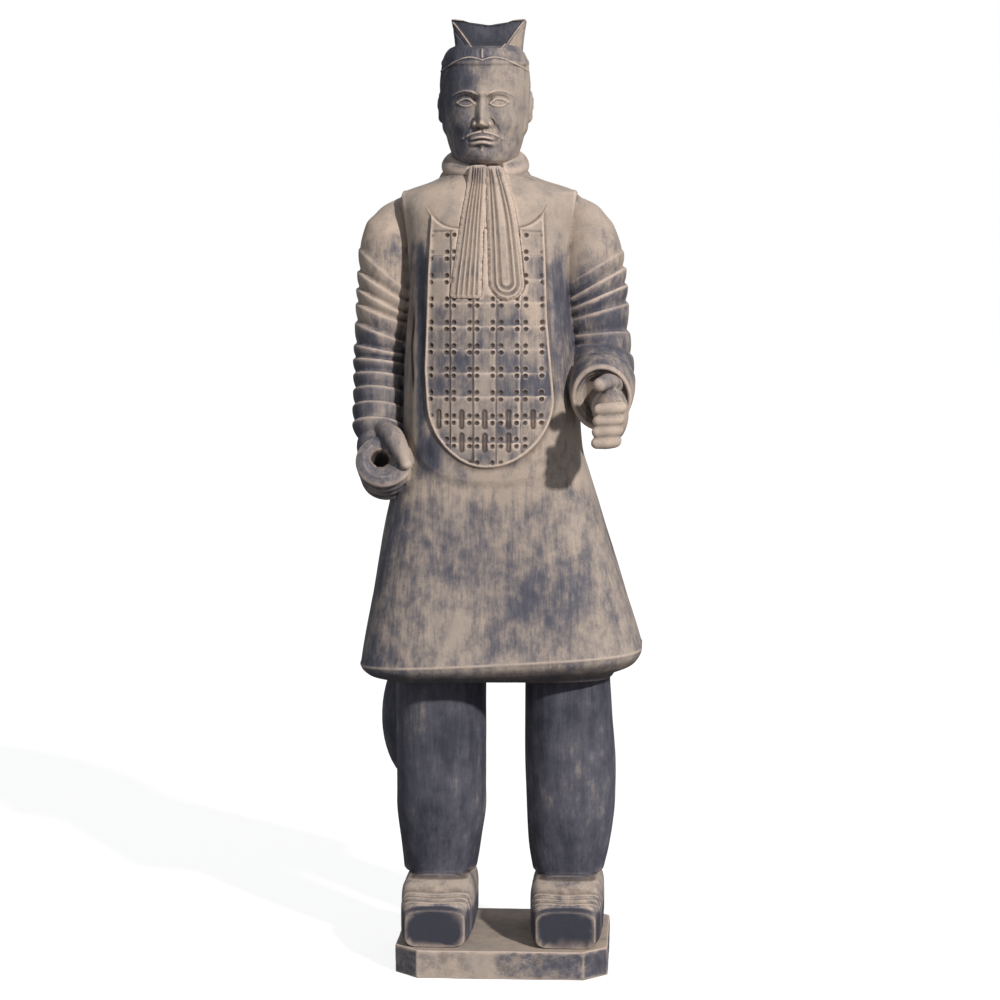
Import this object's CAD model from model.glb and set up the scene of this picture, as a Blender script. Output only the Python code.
import math

import bpy
import numpy as np
from mathutils.kdtree import KDTree
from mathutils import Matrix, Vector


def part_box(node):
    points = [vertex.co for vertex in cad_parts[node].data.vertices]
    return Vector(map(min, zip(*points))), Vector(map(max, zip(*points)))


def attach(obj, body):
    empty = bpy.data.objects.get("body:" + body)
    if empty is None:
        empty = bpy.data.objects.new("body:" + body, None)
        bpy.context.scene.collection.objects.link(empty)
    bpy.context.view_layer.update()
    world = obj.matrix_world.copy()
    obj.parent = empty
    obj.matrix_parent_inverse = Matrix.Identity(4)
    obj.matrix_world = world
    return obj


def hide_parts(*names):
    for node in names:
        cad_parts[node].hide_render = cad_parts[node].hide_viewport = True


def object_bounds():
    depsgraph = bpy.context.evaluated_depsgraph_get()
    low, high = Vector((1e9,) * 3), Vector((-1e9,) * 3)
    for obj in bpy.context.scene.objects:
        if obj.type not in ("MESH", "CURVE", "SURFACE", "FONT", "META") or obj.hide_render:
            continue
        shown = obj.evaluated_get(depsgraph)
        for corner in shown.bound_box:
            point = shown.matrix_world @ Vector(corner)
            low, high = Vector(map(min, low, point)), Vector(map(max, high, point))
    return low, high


# The visible statue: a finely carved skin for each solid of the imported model, its fired-clay
# finishes, a pale studio and the camera. Sizes are millimetres until a mesh is made, +Z up,
# the figure faces -Y, and "right" and "left" arms are the warrior's own (the right one at -X).

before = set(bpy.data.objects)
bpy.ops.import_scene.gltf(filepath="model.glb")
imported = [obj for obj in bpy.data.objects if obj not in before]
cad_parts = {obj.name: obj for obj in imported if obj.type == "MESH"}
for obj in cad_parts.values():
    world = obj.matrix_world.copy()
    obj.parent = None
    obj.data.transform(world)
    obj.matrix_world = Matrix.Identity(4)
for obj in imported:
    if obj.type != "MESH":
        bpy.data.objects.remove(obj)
CAD_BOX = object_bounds()

MM = 0.001
TURN = 2 * math.pi

# ---------------------------------------------------------------- shared dimensions

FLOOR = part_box("body")[0].z / MM
PLINTH_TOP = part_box("plinth")[1].z / MM
PLINTH = {"half_width": 205, "half_depth": 175, "chamfer": 46}

SWAY = [(566, -4), (722, -9), (890, -20), (1330, -29), (1508, -28), (1534, -36)]

# Robe: height, half width, depth in front, depth behind, squareness of the section.
ROBE = [
    (566, 214, 142, 142, 3.4), (582, 259, 174, 172, 3.4), (603, 273, 188, 184, 3.4),
    (627, 269, 184, 180, 3.4), (722, 246, 172, 168, 3.4), (816, 224, 164, 158, 3.3),
    (900, 203, 158, 150, 3.2), (958, 187, 158, 145, 3.0), (1010, 174, 160, 141, 2.9),
    (1090, 170, 160, 138, 2.8), (1200, 164, 154, 137, 2.7), (1330, 154, 146, 140, 2.6),
    (1400, 157, 136, 138, 2.5), (1450, 166, 122, 128, 2.4), (1477, 174, 108, 115, 2.3),
    (1491, 173, 98, 103, 2.2), (1502, 150, 91, 95, 2.2), (1515, 110, 84, 88, 2.1),
    (1527, 82, 78, 80, 2.0),
]
HEM_TILT = {"slope": 0.058, "height": 603, "reach": 110}

HEM_RIDGE = {"height": 606, "width": 5, "proud": 1.8}
CREASE = {"x": -168, "low": 1100, "high": 1300, "width": 4, "depth": 4.5}
VEST = {"proud": 5, "bottom": 943, "corner": 1050, "top_half_width": 172, "half_width": 150}
NECKLINE = {"x": -28.5, "low": 1424, "rise": 46, "reach": 112.5, "power": 5}
PLATES = {
    "proud": 4.5, "lines": (-93, -50.5, -7, 38), "left": -136, "right": 82, "bottom": 977,
    "low": 1075, "first_row": 1419, "pitch": 43.8, "rows": 10, "column_step": 1.8,
    "row_step": 2.2, "groove": 1.6, "rim": 1.8,
}
PITS = {"across": 14.5, "beside": 6.6, "radius": 3.9, "depth": 3.6, "rim": 0.7}
LACES = {"rows": (8, 9), "half_width": 4.2, "half_height": 18, "depth": 2.8, "cord": 2.2}

COLLAR = {"x": -38, "y": 2, "rolls": 3, "low": 1484, "high": 1567, "low_radius": 92,
          "high_radius": 77, "bulge": 8, "slope": 0.3}

SCARF_TAILS = [
    {"top": (-46, 1542), "knee": (-54, 1440), "foot": (-65.5, 1300),
     "half_widths": (12, 18, 25.5), "flutes": 5, "is_round": False},
    {"top": (-16, 1540), "knee": (1.5, 1440), "foot": (13, 1296),
     "half_widths": (12, 23.5, 30), "flutes": 5.4, "is_round": True},
]
SCARF = {"proud": 14, "flute": 3.4, "root": 30, "neck_depth": 86}

RIGHT_SLEEVE = {
    "folds": 11,
    "heights": [
        (-2, 1492, 1480), (-1.5, 1474, 1440), (-1, 1445, 1390), (0, 1396, 1300),
        (1, 1352, 1280), (2, 1318, 1260), (3, 1289, 1246), (4, 1253, 1212), (5, 1209, 1188),
        (6, 1180, 1168), (8, 1119, 1113), (10, 1056, 1052), (11, 1024, 1022),
    ],
    "sides": [
        (-2, -208, -186), (-1.5, -242, -168), (-1, -267, -160), (0, -281, -165),
        (2, -287, -174), (4, -290, -184), (6, -294, -190), (8, -292, -193), (10, -291, -195),
        (11, -282, -196),
    ],
    "depths": [
        (-2, 4, 14, 0), (-1.5, 4, 40, 0), (-1, 4, 54, 0), (0, 6, 64, 0), (3, 10, 66, 0),
        (5, 10, 63, 2), (6, 6, 61, 7), (8, -12, 57, 16), (10, -40, 51, 22), (11, -56, 42, 24),
    ],
}
LEFT_SLEEVE = {
    "folds": 7,
    "heights": [
        (-2, 1492, 1480), (-1.5, 1474, 1446), (-1, 1442, 1400), (0, 1391, 1320),
        (1, 1358, 1288), (2, 1325, 1271), (3, 1291, 1254), (4, 1235, 1222), (5, 1186, 1194),
        (6, 1144, 1144), (7, 1108, 1108),
    ],
    "sides": [
        (-2, 150, 128), (-1.5, 184, 112), (-1, 207, 104), (0, 225, 106), (2, 234, 112),
        (4, 239, 120), (5, 245, 124), (6, 250, 128), (7, 250, 129),
    ],
    "depths": [
        (-2, 4, 14, 0), (-1.5, 4, 40, 0), (-1, 4, 54, 0), (0, 6, 64, 0), (3, 10, 66, 0),
        (4, 10, 66, 4), (5, 0, 67, 18), (6, -52, 69, 48), (7, -138, 70, 74),
    ],
}
FOLD = {"height": 8, "mean": 4.5, "rise_end": 0.16}
CUFF_MOUTH = {"rim": 0.84, "folds": ((0.85, 0), (0.80, 8), (0.74, 5), (0.70, 15), (0.64, 12),
                                     (0.58, 26))}

FIST = {
    "centre": (-223, -100, 971), "axis": (0, -0.87, 0.5), "pitch": 21, "fingers": 4,
    "top_radius": 55, "end_radius": 50, "crease": 5.5, "round": 0.5, "mouth": 14,
    "hole": {"offset": (-8, 4), "radius": 17},
}
HAND = {
    "palm": {"centre": (210, -218, 1082), "radii": (32, 60, 52)},
    "knuckle": (226, -266, 1096), "tip": (188, -276, 1092), "fingers": 4, "drop": 20.5,
    "shift": 1.5, "radius": 12.5,
}

RIGHT_LEG = [
    (172, -129, 71, 24, 76), (230, -127, 79, 22, 84), (310, -126, 88, 18, 94),
    (420, -126, 88, 15, 99), (600, -126, 88, 14, 101),
]
LEFT_LEG = [
    (172, 124, 69, 24, 76), (230, 126, 80, 22, 84), (310, 129, 87, 18, 94),
    (390, 128, 89, 15, 99), (470, 125, 86, 14, 101), (600, 121, 81, 14, 101),
]
RIGHT_LEG_DRAPE = {"centre": (-178, 60, 470), "radii": (70, 71, 134)}
SHOE = {"toe": -152, "right_x": -127, "left_x": 124, "squareness": 5, "ridges": (12, 24, 37),
        "straps": (34, 48)}
SHOE_SECTIONS = [
    (0, 57, 68), (6, 60, 75), (30, 65, 86), (62, 69, 102), (92, 71, 118), (200, 71, 118),
    (250, 68, 116), (274, 52, 110),
]

HEAD = {"x": -38, "y": 0, "chin": 1551, "crown": 1778, "neck_foot": 1502}
SKULL = [
    (1502, 56, 56, 56), (1542, 56, 57, 58), (1551, 50, 84, 62), (1558, 57, 91, 66),
    (1575, 65, 94, 74), (1600, 73, 95, 86), (1632, 79, 94, 96), (1664, 82, 94, 101),
    (1700, 83, 95, 102), (1735, 80, 90, 98), (1752, 77, 84, 91), (1764, 72, 76, 83),
    (1772, 66, 66, 74), (1778, 54, 52, 56),
]
HAIR = {"low": 1606, "thickness": 4, "front": -26}
HEADBAND = {"low": 1737, "high": 1758, "proud": 6, "root": 5, "slope": 0.06}
HEADDRESS = {"centre": (-31, 11), "foot": 1760, "top": 1829, "foot_half": (64, 32),
             "top_half": (72, 37), "dip": 10, "recess": 12}
EAR = {"height": 1664, "half_height": 32, "thickness": 9, "depth": 17, "y": 8, "lean": 0.18}
SOCKET_CLEARANCE = 2.6

# Triangle budget of each visible piece.
TRIANGLES = {"body": 190000, "head": 150000, "plinth": 30000}

# Face: heights of its features, all worked out from HEAD's chin and crown: the eyes halfway,
# the nose's base and the brow 66 and 132 above the chin, the mouth a third below the nose.
FACE = {"brow": 1683, "eye": 1665, "nose": 1617, "mouth": 1594, "chin": 1563,
        "eye_spacing": 31, "eye_half": 16, "mouth_half": 25}
HAIRLINE = {"height": 1743, "arch": 6, "reach": 50, "fall": 0.4, "width": 2.6, "proud": 2.6}
DRESS_BAND = {"height": 1774, "half_width": 61, "half_depth": 36, "radius": 4.5}

# ---------------------------------------------------------------- curves


def profile(rows):
    """Smooth curves through rows of (at, value, ...) that never swing past the rows."""
    table = np.array(rows, float)
    at, values = table[:, 0], table[:, 1:]
    steps = np.diff(values, axis=0) / np.diff(at)[:, None]
    slopes = np.vstack([steps[:1], np.zeros_like(steps[1:]), steps[-1:]])
    product = steps[:-1] * steps[1:]
    total = np.where(product > 0, steps[:-1] + steps[1:], 1.0)
    slopes[1:-1] = np.where(product > 0, 2 * product / total, 0.0)

    def curve(where):
        x = np.clip(np.asarray(where, float), at[0], at[-1])
        piece = np.clip(np.searchsorted(at, x) - 1, 0, len(at) - 2)
        span = (at[piece + 1] - at[piece])[..., None]
        t = (x - at[piece])[..., None] / span
        start, end = values[piece], values[piece + 1]
        leave, arrive = slopes[piece] * span, slopes[piece + 1] * span
        bend = 3 * (end - start) - 2 * leave - arrive
        twist = leave + arrive - 2 * (end - start)
        found = start + t * (leave + t * (bend + t * twist))
        return [found[..., column] for column in range(found.shape[-1])]

    return curve


def squared(value, squareness):
    """Signed power, for sections between an oval and a rectangle."""
    return np.sign(value) * np.abs(value) ** (2 / squareness)


def bump(value):
    """A smooth hill between -1 and 1, one high."""
    return np.where(np.abs(value) < 1, (1 + np.cos(np.pi * np.clip(value, -1, 1))) / 2, 0.0)


def ramp(value, start, end):
    """0 before start, 1 after end, smooth in between."""
    t = np.clip((value - start) / (end - start), 0, 1)
    return t * t * (3 - 2 * t)


def mix(start, end, share):
    return start + (end - start) * share


# ---------------------------------------------------------------- closed skins


def loft(around, levels, place):
    """A closed skin over rings. place(angle, level, reach) gives X, Y and Z; reach is 1 on the
    skin and 0 at the middle of an end cap."""
    levels = np.asarray(levels, float)
    angle = np.arange(around) * TURN / around
    x, y, z = np.broadcast_arrays(*place(angle[None, :], levels[:, None], 1.0))
    rings = np.stack([x, y, z], axis=-1).reshape(-1, 3)
    ends = np.array([[0.0], [0.0]])
    cx, cy, cz = np.broadcast_arrays(*place(ends, levels[[0, -1]][:, None], 0.0))
    caps = np.stack([cx, cy, cz], axis=-1).reshape(-1, 3)
    count = len(levels)
    here = np.arange((count - 1) * around).reshape(count - 1, around)
    after = np.roll(here, -1, axis=1)
    quads = np.stack([here, after, after + around, here + around], axis=-1).reshape(-1, 4)
    first = np.arange(around)
    last = first + (count - 1) * around
    foot = np.stack([np.roll(first, -1), first, np.full(around, count * around)], axis=-1)
    head = np.stack([last, np.roll(last, -1), np.full(around, count * around + 1)], axis=-1)
    return np.vstack([rings, caps]), quads.tolist() + foot.tolist() + head.tolist()


def ball(centre, radii, around=48):
    """A stretched ball."""
    polar = np.linspace(0.02, math.pi - 0.02, around // 2)

    def place(angle, level, reach):
        ring = reach * np.sin(level)
        return (
            centre[0] + radii[0] * ring * np.sin(angle),
            centre[1] - radii[1] * ring * np.cos(angle),
            centre[2] - radii[2] * np.cos(level) * np.ones_like(angle),
        )

    return loft(around, polar, place)


def rod(points, radii, around=28):
    """A round-ended rod of varying radius through a few points."""
    stops = np.linspace(0, 1, len(points))
    along = profile([(s, *p, r) for s, p, r in zip(stops, points, radii)])
    steps = 12 * (len(points) - 1) + 1
    share = np.linspace(0, 1, steps)
    x, y, z, radius = along(share)
    path = np.stack([x, y, z], axis=-1)
    tangent = np.gradient(path, axis=0)
    tangent /= np.linalg.norm(tangent, axis=1)[:, None]
    cap = np.linspace(0.05, math.pi / 2, 6)[:-1]
    low = path[0] - np.cos(cap)[:, None] * radius[0] * tangent[0]
    high = path[-1] + np.cos(cap[::-1])[:, None] * radius[-1] * tangent[-1]
    path = np.vstack([low, path, high])
    radius = np.concatenate([np.sin(cap) * radius[0], radius, np.sin(cap[::-1]) * radius[-1]])
    tangent = np.vstack([np.repeat(tangent[:1], 5, 0), tangent, np.repeat(tangent[-1:], 5, 0)])
    helper = np.array([0.13, 0.07, 1.0]) if abs(tangent[0][2]) < 0.8 else np.array([1.0, 0.1, 0])
    side = np.cross(tangent, helper)
    side /= np.linalg.norm(side, axis=1)[:, None]
    lift = np.cross(side, tangent)

    def place(angle, level, reach):
        at = level.astype(int)[:, 0]
        ring = reach * radius[at][:, None]
        return tuple(
            path[at, axis][:, None]
            + ring * (np.sin(angle) * side[at, axis][:, None] + np.cos(angle) * lift[at, axis][:, None])
            for axis in range(3)
        )

    return loft(around, np.arange(len(path)), place)


# ---------------------------------------------------------------- robe, collar, scarf

sway_curve = profile(SWAY)
robe_curve = profile(ROBE)


def sway(height):
    return sway_curve(height)[0]


def robe_place(angle, height, reach):
    half_width, front, back, squareness = robe_curve(height)
    depth = np.where(np.cos(angle) > 0, front, back)
    hem_reach = 1 - np.abs(height - HEM_TILT["height"]) / HEM_TILT["reach"]
    lift = np.where(height > ROBE[0][0], HEM_TILT["slope"] * np.clip(hem_reach, 0, 1), 0)
    x = reach * half_width * squared(np.sin(angle), squareness)
    y = -reach * depth * squared(np.cos(angle), squareness)
    return sway(height) + x, y, height + lift * x


def make_robe():
    heights = np.concatenate([np.linspace(566, 627, 24), np.arange(632, ROBE[-1][0], 4),
                              [ROBE[-1][0]]])
    return loft(280, heights, robe_place)


def chest_front(x, height):
    """How far in front of Y = 0 the robe's skin lies at a place on the chest."""
    half_width, front, _, squareness = robe_curve(height)
    share = np.minimum(np.abs(x - sway(height)) / half_width, 0.98)
    depth = np.maximum(front, SCARF["neck_depth"])
    return depth * (1 - share**squareness) ** (1 / squareness)


def make_collar():
    c = COLLAR

    def place(angle, level, reach):
        share = level / c["rolls"]
        swell = c["bulge"] * np.abs(np.sin(np.pi * level)) ** 0.7
        radius = mix(c["low_radius"], c["high_radius"], share) - c["bulge"] + swell
        x = c["x"] + reach * radius * np.sin(angle)
        y = -reach * radius * np.cos(angle)
        return x, c["y"] + y, mix(c["low"], c["high"], share) + c["slope"] * share * y

    return loft(96, np.linspace(0, c["rolls"], 61), place)


def tail_path(tail):
    """X of the middle of a scarf tail and its half width, over its height."""
    foot, knee, top, wide = tail["foot"], tail["knee"], tail["top"], tail["half_widths"]
    return profile([
        (foot[1], foot[0], wide[2]), (knee[1], knee[0], wide[1]), (top[1], top[0], wide[0]),
    ])


def make_scarf_tail(tail):
    path = tail_path(tail)
    foot, top, radius = tail["foot"][1], tail["top"][1], tail["half_widths"][2]

    def place(angle, height, reach):
        x, half_width = path(height)
        if tail["is_round"]:
            below = np.clip((foot + radius - height) / radius, 0, 0.995)
            half_width = half_width * np.sqrt(1 - below**2)
        turned = np.where(angle > np.pi, angle - TURN, angle)
        is_front = np.abs(turned) < np.pi / 2 + 1e-6
        turn = np.where(is_front, turned / (np.pi / 2),
                        np.sign(turned) * (2 - np.abs(turned) / (np.pi / 2)))
        across = np.where(is_front, turn, np.clip(2 * turn, -1, 1))
        px = x + reach * across * half_width
        edge = 1 - 0.25 * np.abs(across) ** 6
        depth = np.where(is_front, SCARF["proud"] * edge, -SCARF["root"] * (1.2 - np.abs(turn)))
        return px, -chest_front(px, height) - reach * depth, height * np.ones_like(px)

    return loft(160, np.linspace(foot, top, 110), place)


# ---------------------------------------------------------------- sleeves and hands


def fold_height(level, folds):
    """Height of the overlapping cloth fold at a fold number: a quick rise after each crease."""
    part = level - np.floor(level)
    rise = np.clip(part / FOLD["rise_end"], 0, 1) ** 0.6
    fall = np.clip((part - FOLD["rise_end"]) / (1 - FOLD["rise_end"]), 0, 1) ** 2.4
    fold = FOLD["height"] * np.where(part < FOLD["rise_end"], rise, 1 - fall)
    shoulder = FOLD["height"] * 0.6 * ramp(level, -1.3, -0.9)
    return np.where(level <= 0, shoulder, np.where(level >= folds, 0, fold))


def sleeve_curves(sleeve):
    return profile(sleeve["heights"]), profile(sleeve["sides"]), profile(sleeve["depths"])


def make_sleeve(sleeve, is_open):
    heights, sides, depths = sleeve_curves(sleeve)
    folds = sleeve["folds"]
    fine = np.concatenate([np.linspace(-2, -0.05, 40)]
                          + [fold + np.linspace(0, 0.96, 18) for fold in range(folds)])
    rows = [(level, 1.0, 0.0) for level in fine]
    rows.append((folds, 1.0, 0.0))
    if is_open:
        rows.append((folds, CUFF_MOUTH["rim"] + 0.08, -3.0))
        rows += [(folds, scale, inset) for scale, inset in CUFF_MOUTH["folds"]]
    table = np.array(rows)

    def place(angle, index, reach):
        level, scale, inset = (table[index.astype(int), column] for column in range(3))
        outer_z, inner_z = heights(level)
        outer_x, inner_x = sides(level)
        middle_y, half_depth, tip_degrees = depths(level)
        tip = np.radians(tip_degrees)
        side = np.sign(outer_x)
        grow = reach * scale * (1 + (fold_height(level, folds) - FOLD["mean"]) / half_depth)
        across = grow * side * np.sin(angle)
        ahead = grow * half_depth * np.cos(angle)
        x = (outer_x + inner_x) / 2 + across * (outer_x - inner_x) / 2
        y = middle_y + inset * np.sin(tip) - ahead * np.cos(tip)
        z = (outer_z + inner_z) / 2 + inset * np.cos(tip)
        return x, y, z + across * (outer_z - inner_z) / 2 + ahead * np.sin(tip)

    return loft(120, np.arange(len(table)), place)


def grip_frame():
    """Right, up and along directions of the fist's grip."""
    along = np.array(FIST["axis"]) / np.linalg.norm(FIST["axis"])
    right = np.array([1.0, 0, 0])
    return right, np.cross(along, right), along


def grip_point(offset_right, offset_up, offset_along):
    right, up, along = grip_frame()
    centre = np.array(FIST["centre"], float)
    return centre + offset_right * right + offset_up * up + offset_along * along


def make_fist():
    right, up, along = grip_frame()
    fingers, length = FIST["fingers"], FIST["fingers"] * FIST["pitch"]

    def place(angle, level, reach):
        share = level / fingers
        dip = FIST["crease"] * (1 - np.abs(np.sin(np.pi * np.minimum(level, fingers - 0.5))) ** 0.6)
        over = np.clip((level - fingers + FIST["round"]) / FIST["round"], 0, 1)
        radius = mix(FIST["end_radius"], FIST["top_radius"], share) - dip
        radius = radius * (0.62 + 0.38 * np.sqrt(1 - 0.98 * over**2))
        u = reach * radius * np.sin(angle)
        v = -reach * radius * np.cos(angle)
        w = (share - 0.5) * length * np.ones_like(angle)
        w = w - np.where(level > 0, FIST["mouth"] * (1 - reach), 0)
        return tuple(
            FIST["centre"][axis] + u * right[axis] + v * up[axis] + w * along[axis]
            for axis in range(3)
        )

    levels = np.concatenate([np.linspace(0, fingers - 0.5, 57), np.linspace(fingers - 0.48, fingers, 12)])
    coil = loft(96, levels, place)
    thumb = rod([(-226, -92, 1046), (-206, -122, 1034), (-190, -142, 1008), (-180, -150, 984)],
                (17, 19, 16, 11))
    wrist = ball((-238, -64, 1012), (44, 44, 44))
    return [coil, thumb, wrist]


def make_hand():
    h = HAND
    parts = [ball(**h["palm"]), rod([(196, -90, 1108), (204, -200, 1090)], (32, 32)),
             rod([(216, -214, 1136), (204, -240, 1142), (189, -258, 1137)], (15, 15.5, 13))]
    for finger in range(h["fingers"]):
        drop, shift = finger * h["drop"], finger * h["shift"]
        knuckle = np.array(h["knuckle"]) + (-2 * shift, 2 * shift, -drop)
        tip = np.array(h["tip"]) + (-shift, shift, -drop)
        root = knuckle + (-8, 44, 2)
        middle = (knuckle + tip) / 2 + (4, -4, 0)
        parts.append(rod([root, knuckle, middle, tip], (11, 12.5, 13, 11)))
    return parts


# ---------------------------------------------------------------- legs, shoes, head


def make_leg(rows):
    leg = profile(rows)

    def place(angle, height, reach):
        middle_x, half_width, middle_y, half_depth = leg(height)
        x = middle_x + reach * half_width * squared(np.sin(angle), 2.3)
        y = middle_y - reach * half_depth * squared(np.cos(angle), 2.3)
        return x, y, height * np.ones_like(x)

    return loft(140, np.linspace(rows[0][0], rows[-1][0], 80), place)


def make_shoe(middle_x):
    shoe = profile(SHOE_SECTIONS)

    def place(angle, behind, reach):
        half_width, height = shoe(behind)
        up = squared(np.cos(angle), SHOE["squareness"])
        across = squared(np.sin(angle), SHOE["squareness"])
        crown = 1 + 0.1 * np.where(np.cos(angle) > 0, 1 - across**2, 0)
        x = middle_x + reach * half_width * across
        z = FLOOR + height / 2 * (1 + reach * up * crown)
        return x, SHOE["toe"] + behind * np.ones_like(x), z

    return loft(140, np.linspace(0, 274, 90), place)


skull_curve = profile(SKULL)


def skull_place(extra):
    def place(angle, height, reach):
        half_width, front, back = skull_curve(height)
        behind = ramp(-np.cos(angle), -0.28, -0.16) * ramp(height, HAIR["low"], HAIR["low"] + 14)
        above = ramp(height, HAIRLINE["height"] - 8, HAIRLINE["height"] + 6)
        out = extra + HAIR["thickness"] * np.maximum(behind, above)
        depth = np.where(np.cos(angle) > 0, front, back) + out
        x = HEAD["x"] + reach * (half_width + out) * squared(np.sin(angle), 2.1)
        y = HEAD["y"] - reach * depth * squared(np.cos(angle), 2.1)
        return x, y, height * np.ones_like(x)

    return place


def make_skull():
    return loft(200, np.linspace(HEAD["neck_foot"], HEAD["crown"], 160), skull_place(0))


def make_socket():
    heights = np.concatenate([[HEAD["neck_foot"] - 1], np.linspace(1510, 1640, 60)])
    return loft(120, heights, skull_place(SOCKET_CLEARANCE))


def make_headband():
    b = HEADBAND
    middle, half = (b["low"] + b["high"]) / 2, (b["high"] - b["low"]) / 2

    def place(angle, height, reach):
        half_width, front, back = skull_curve(height)
        round_share = np.sqrt(np.clip(1 - ((height - middle) / half) ** 2, 0, 1))
        out = mix(-b["root"], b["proud"], round_share)
        depth = np.where(np.cos(angle) > 0, front, back) + out
        x = reach * (half_width + out) * np.sin(angle)
        y = -reach * depth * np.cos(angle)
        return HEAD["x"] + x, HEAD["y"] + y, height + b["slope"] * y

    return loft(200, np.linspace(b["low"], b["high"], 24), place)


def make_headdress():
    h = HEADDRESS

    def place(angle, height, reach):
        share = (height - h["foot"]) / (h["top"] - h["foot"])
        half_width = mix(h["foot_half"][0], h["top_half"][0], share**1.6)
        half_depth = mix(h["foot_half"][1], h["top_half"][1], share)
        across = squared(np.sin(angle), 6)
        ahead = squared(np.cos(angle), 6)
        hollow = h["recess"] * share * bump(across * 0.95)
        x = reach * half_width * across
        y = -reach * ahead * (half_depth - np.where(ahead > 0, hollow, 0))
        dip = h["dip"] * bump(reach * across * 0.9) * ramp(share, 0.6, 1.0)
        return h["centre"][0] + x, h["centre"][1] + y, height - dip

    return loft(160, np.linspace(h["foot"], h["top"], 60), place)


def make_dress_band():
    """The narrow band round the foot of the headdress."""
    b = DRESS_BAND

    def place(angle, level, reach):
        out = b["radius"] * np.sin(level)
        x = HEADDRESS["centre"][0] + reach * (b["half_width"] + out) * squared(np.sin(angle), 3)
        y = HEADDRESS["centre"][1] - reach * (b["half_depth"] + out) * squared(np.cos(angle), 3)
        return x, y, b["height"] - b["radius"] * np.cos(level) * np.ones_like(x)

    return loft(160, np.linspace(0, math.pi, 12), place)


def make_ear(side):
    e = EAR
    half_width = skull_curve(e["height"])[0]

    def place(angle, level, reach):
        up = -np.cos(level)
        ring = reach * np.sin(level)
        taper = 1 + 0.2 * up
        x = HEAD["x"] + side * (half_width + 1) + ring * np.sin(angle) * e["thickness"]
        z = e["height"] + up * e["half_height"] * np.ones_like(x)
        y = HEAD["y"] + e["y"] - ring * np.cos(angle) * e["depth"] * taper
        return x, y + e["lean"] * (z - e["height"]), z

    return loft(48, np.linspace(0.02, math.pi - 0.02, 40), place)


# ---------------------------------------------------------------- plinth


def make_plinth():
    p = PLINTH
    w, d, c = p["half_width"], p["half_depth"], p["chamfer"]
    corners = np.array([(-w + c, -d), (w - c, -d), (w, -d + c), (w, d - c), (w - c, d),
                        (-w + c, d), (-w, d - c), (-w, -d + c)], float)

    def place(angle, height, reach):
        step = angle / TURN * len(corners)
        at = np.floor(step).astype(int) % len(corners)
        share = (step - np.floor(step))[..., None]
        xy = mix(corners[at], corners[(at + 1) % len(corners)], share) * reach
        return xy[..., 0], xy[..., 1], height * np.ones_like(angle)

    return loft(160, np.linspace(0, PLINTH_TOP, 12), place)


# ---------------------------------------------------------------- outlines in the front view


def bend(*controls, count=16):
    """Points along a quadratic or cubic curve, without its last point."""
    t = np.linspace(0, 1, count, endpoint=False)[:, None]
    points = [np.array(control, float)[None, :] for control in controls]
    while len(points) > 1:
        points = [mix(start, end, t) for start, end in zip(points[:-1], points[1:])]
    return points[0]


def outline_distance(x, z, outline):
    """Distance inside a closed outline, negative outside it."""
    nearest = np.full(len(x), 1e9)
    inside = np.zeros(len(x), bool)
    for (x0, z0), (x1, z1) in zip(outline, np.roll(outline, -1, axis=0)):
        dx, dz = x1 - x0, z1 - z0
        t = np.clip(((x - x0) * dx + (z - z0) * dz) / (dx * dx + dz * dz), 0, 1)
        nearest = np.minimum(nearest, np.hypot(x - x0 - t * dx, z - z0 - t * dz))
        crosses = (z0 > z) != (z1 > z)
        if dz != 0:
            inside ^= crosses & (x < x0 + (z - z0) * dx / dz)
    return np.where(inside, nearest, -nearest)


def vest_outline():
    """Wide shoulders, waisted sides and a rounded lower edge."""
    low, high = float(sway(VEST["bottom"])), float(sway(VEST["corner"]))
    chest, shoulder = float(sway(1330)), float(sway(1500))
    bottom, corner, half = VEST["bottom"], VEST["corner"], VEST["half_width"]
    top = VEST["top_half_width"]
    return np.vstack([
        bend((low, bottom), (low + 90, bottom), (high + half - 4, 966), (high + half, corner)),
        bend((high + half, corner), (chest + half - 6, 1330), count=1),
        bend((chest + half - 6, 1330), (chest + 152, 1440), (shoulder + top, 1520)),
        [(shoulder + top, 1520), (shoulder + top, 1600), (shoulder - top, 1600)],
        bend((shoulder - top, 1520), (chest - 152, 1440), (chest - half + 6, 1330)),
        bend((chest - half + 6, 1330), (high - half, corner), count=1),
        bend((high - half, corner), (high - half + 4, 966), (low - 90, bottom), (low, bottom)),
    ])


def plates_outline():
    """Straight sides and a rounded foot; its top is the neckline."""
    p = PLATES
    left, right, bottom, low, top = p["left"], p["right"], p["bottom"], p["low"], 1500
    middle = (left + right) / 2
    reach = (right - left) / 2
    return np.vstack([
        bend((middle, bottom), (middle + 0.62 * reach, bottom), (right + 14, low - 40),
             (right + 14, low + 30)),
        [(right + 14, low + 30), (right, 1260), (right - 8, top), (left + 7, top),
         (left + 4, 1400), (left - 4, 1160)],
        bend((left, low + 20), (left + 4, low - 44), (middle - 0.5 * reach, bottom),
             (middle, bottom)),
    ])


def lattice_noise(points, size, seed):
    """Smooth noise between -1 and 1 with hills about size across, the same on every run."""
    at = points / size
    cell = np.floor(at)
    t = at - cell
    t = t * t * (3 - 2 * t)
    total = np.zeros(len(points))
    for corner in range(8):
        step = np.array([corner & 1, corner >> 1 & 1, corner >> 2 & 1])
        key = (cell + step) @ np.array([127.1, 311.7, 74.7]) + seed * 19.19
        value = np.sin(key) * 43758.5453
        weight = np.prod(np.where(step == 1, t, 1 - t), axis=1)
        total += weight * (2 * (value - np.floor(value)) - 1)
    return total


# ---------------------------------------------------------------- mesh tools


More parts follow.
